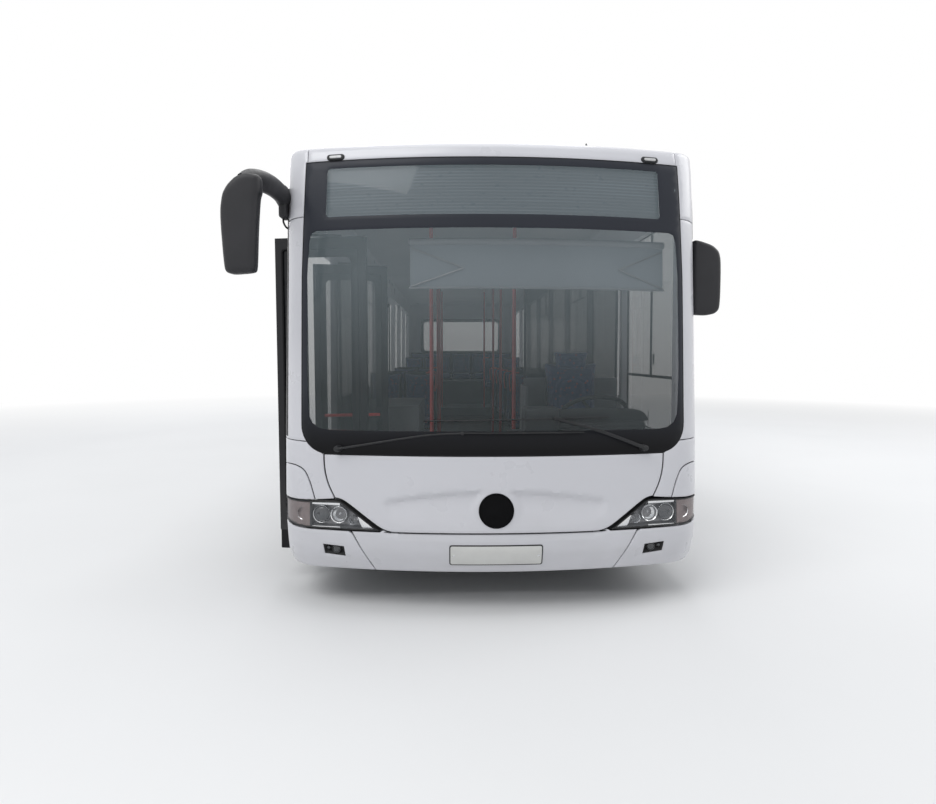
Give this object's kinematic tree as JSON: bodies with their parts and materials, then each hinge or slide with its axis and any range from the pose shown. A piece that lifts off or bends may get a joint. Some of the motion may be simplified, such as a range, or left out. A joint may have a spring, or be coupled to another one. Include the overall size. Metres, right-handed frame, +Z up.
{
  "type": "low-floor city bus",
  "caption": "Long low-floor city bus with a large raked windscreen, inward-swinging double doors, steered front wheels, twin rear wheels and lifting service flaps.",
  "frame": {"origin": "on the ground, midway between the mirrors' outer edges and midway along the overall length, mirrors included", "axes": "+X to the driver's side, the bus faces -Y, +Z up"},
  "size_m": [2.94, 12.07, 3.0559],
  "materials": {
    "body_paint": "smooth white coach paint",
    "roof_paint": "satin white paint",
    "trim_black": "grained black plastic",
    "door_paint": "satin dark grey paint",
    "glass_front": "clear laminated glass",
    "glass_side": "tinted safety glass",
    "lamp_glass": "clear lamp cover",
    "lamp_red": "red lamp lens",
    "tyre": "ribbed road tyre",
    "wheel_steel": "silver painted steel",
    "chassis": "black chassis paint",
    "floor_cover": "speckled floor covering",
    "engine_iron": "cast iron",
    "dash_plastic": "grained dark plastic",
    "seat_fabric": "short pile moquette",
    "pole_paint": "red powder coat",
    "display_black": "dark display matrix",
    "panel_grey": "grey laminate"
  },
  "bodies": {
    "body": {"bumper_front": "body_paint", "bumper_rear": "body_paint", "dashboard": "dash_plastic", "display": "display_black", "driver_seat": "seat_fabric", "engine": "engine_iron", "floor": "floor_cover", "front_axle": "chassis", "front_corners": "body_paint", "front_top": "body_paint", "front_wings": "body_paint", "glass_kerb": "glass_side", "glass_road": "glass_side", "handrails": "pole_paint", "headlamps": "lamp_glass", "mirrors": "trim_black", "partition": "panel_grey", "rear_axle": "chassis", "rear_floor": "floor_cover", "rear_wall": "body_paint", "rear_window": "glass_side", "roof": "roof_paint", "roof_unit": "roof_paint", "seats": "seat_fabric", "steering_column": "dash_plastic", "tail_lamps": "lamp_red", "wall_kerb": "body_paint", "wall_road": "body_paint", "wheel_boxes": "floor_cover", "windscreen": "glass_front", "wipers": "trim_black"},
    "knuckle_kerb": {"knuckle_kerb": "chassis"},
    "wheel_front_kerb": {"tyre_front_kerb": "tyre", "rim_front_kerb": "wheel_steel"},
    "wheels_rear_kerb": {"tyres_rear_kerb": "tyre", "rims_rear_kerb": "wheel_steel"},
    "knuckle_road": {"knuckle_road": "chassis"},
    "wheel_front_road": {"tyre_front_road": "tyre", "rim_front_road": "wheel_steel"},
    "wheels_rear_road": {"tyres_rear_road": "tyre", "rims_rear_road": "wheel_steel"},
    "tie_rod": {"tie_rod": "chassis"},
    "steering_wheel": {"steering_wheel": "dash_plastic"},
    "front_door_fore_arm": {"front_door_fore_arm": "door_paint"},
    "front_door_fore_leaf": {"front_door_fore_leaf": "door_paint", "front_door_fore_glass": "glass_side"},
    "front_door_aft_arm": {"front_door_aft_arm": "door_paint"},
    "front_door_aft_leaf": {"front_door_aft_leaf": "door_paint", "front_door_aft_glass": "glass_side"},
    "mid_door_fore_arm": {"mid_door_fore_arm": "door_paint"},
    "mid_door_fore_leaf": {"mid_door_fore_leaf": "door_paint", "mid_door_fore_glass": "glass_side"},
    "mid_door_aft_arm": {"mid_door_aft_arm": "door_paint"},
    "mid_door_aft_leaf": {"mid_door_aft_leaf": "door_paint", "mid_door_aft_glass": "glass_side"},
    "front_flap": {"front_flap": "body_paint"},
    "engine_flap": {"engine_flap": "body_paint"},
    "hatch_front": {"hatch_front": "roof_paint"},
    "hatch_rear": {"hatch_rear": "roof_paint"}
  },
  "joints": [
    {"name": "steer_road", "type": "hinge", "parent": "body", "child": "knuckle_road", "pos_m": [0.88, -3.21, 0.478], "axis": [0, 0, 1], "range_deg": [-45, 45]},
    {"name": "spin_front_road", "type": "hinge", "parent": "knuckle_road", "child": "wheel_front_road", "pos_m": [1.0505, -3.21, 0.478], "axis": [1, 0, 0], "continuous": true},
    {"name": "spin_rear_road", "type": "hinge", "parent": "body", "child": "wheels_rear_road", "pos_m": [0.917, 2.635, 0.478], "axis": [1, 0, 0], "continuous": true},
    {"name": "steer_kerb", "type": "hinge", "parent": "body", "child": "knuckle_kerb", "pos_m": [-0.88, -3.21, 0.478], "axis": [0, 0, 1], "range_deg": [-45, 45]},
    {"name": "spin_front_kerb", "type": "hinge", "parent": "knuckle_kerb", "child": "wheel_front_kerb", "pos_m": [-1.0505, -3.21, 0.478], "axis": [1, 0, 0], "continuous": true},
    {"name": "spin_rear_kerb", "type": "hinge", "parent": "body", "child": "wheels_rear_kerb", "pos_m": [-0.917, 2.635, 0.478], "axis": [1, 0, 0], "continuous": true},
    {"name": "tie_rod_turn", "type": "hinge", "parent": "knuckle_road", "child": "tie_rod", "pos_m": [0.88, -3.02, 0.19], "axis": [0, 0, 1], "range_deg": [-45, 45]},
    {"name": "steering_wheel_turn", "type": "hinge", "parent": "body", "child": "steering_wheel", "pos_m": [0.72, -5.115, 1.09], "axis": [0, 0.5524, 0.8336], "range_deg": [-810, 810]},
    {"name": "front_door_fore_arm_turn", "type": "hinge", "parent": "body", "child": "front_door_fore_arm", "pos_m": [-1.185, -5.29, 1.3], "axis": [0, 0, 1], "range_deg": [0, 80]},
    {"name": "front_door_fore_leaf_turn", "type": "hinge", "parent": "front_door_fore_arm", "child": "front_door_fore_leaf", "pos_m": [-0.9713, -5.25232, 1.3], "axis": [0, 0, 1], "range_deg": [-160, 0]},
    {"name": "front_door_aft_arm_turn", "type": "hinge", "parent": "body", "child": "front_door_aft_arm", "pos_m": [-1.185, -4.02, 1.3], "axis": [0, 0, 1], "range_deg": [-80, 0]},
    {"name": "front_door_aft_leaf_turn", "type": "hinge", "parent": "front_door_aft_arm", "child": "front_door_aft_leaf", "pos_m": [-0.9713, -4.05768, 1.3], "axis": [0, 0, 1], "range_deg": [0, 160]},
    {"name": "mid_door_fore_arm_turn", "type": "hinge", "parent": "body", "child": "mid_door_fore_arm", "pos_m": [-1.185, -0.89, 1.3], "axis": [0, 0, 1], "range_deg": [-80, 0]},
    {"name": "mid_door_fore_leaf_turn", "type": "hinge", "parent": "mid_door_fore_arm", "child": "mid_door_fore_leaf", "pos_m": [-1.185, -0.673, 1.3], "axis": [0, 0, 1], "range_deg": [0, 160]},
    {"name": "mid_door_aft_arm_turn", "type": "hinge", "parent": "body", "child": "mid_door_aft_arm", "pos_m": [-1.185, 0.38, 1.3], "axis": [0, 0, 1], "range_deg": [0, 80]},
    {"name": "mid_door_aft_leaf_turn", "type": "hinge", "parent": "mid_door_aft_arm", "child": "mid_door_aft_leaf", "pos_m": [-1.185, 0.163, 1.3], "axis": [0, 0, 1], "range_deg": [-160, 0]},
    {"name": "front_flap_lift", "type": "hinge", "parent": "body", "child": "front_flap", "pos_m": [0, -5.884, 0.908], "axis": [-1, 0, 0], "range_deg": [0, 80]},
    {"name": "engine_flap_lift", "type": "hinge", "parent": "body", "child": "engine_flap", "pos_m": [0, 6.03, 1.4], "axis": [1, 0, 0], "range_deg": [0, 80]},
    {"name": "hatch_front_lift", "type": "hinge", "parent": "body", "child": "hatch_front", "pos_m": [0, -1.625, 2.8483], "axis": [-1, 0, 0], "range_deg": [0, 40]},
    {"name": "hatch_rear_lift", "type": "hinge", "parent": "body", "child": "hatch_rear", "pos_m": [0, 2.175, 2.8483], "axis": [-1, 0, 0], "range_deg": [0, 40]}
  ],
  "couplings": [
    {"joint": "steer_kerb", "follows": "steer_road", "ratio": 1},
    {"joint": "tie_rod_turn", "follows": "steer_road", "ratio": -1},
    {"joint": "steering_wheel_turn", "follows": "steer_road", "ratio": 18},
    {"joint": "front_door_fore_leaf_turn", "follows": "front_door_fore_arm_turn", "ratio": -2},
    {"joint": "front_door_aft_arm_turn", "follows": "front_door_fore_arm_turn", "ratio": -1},
    {"joint": "front_door_aft_leaf_turn", "follows": "front_door_fore_arm_turn", "ratio": 2},
    {"joint": "mid_door_fore_leaf_turn", "follows": "mid_door_fore_arm_turn", "ratio": -2},
    {"joint": "mid_door_aft_arm_turn", "follows": "mid_door_fore_arm_turn", "ratio": -1},
    {"joint": "mid_door_aft_leaf_turn", "follows": "mid_door_fore_arm_turn", "ratio": 2}
  ]
}
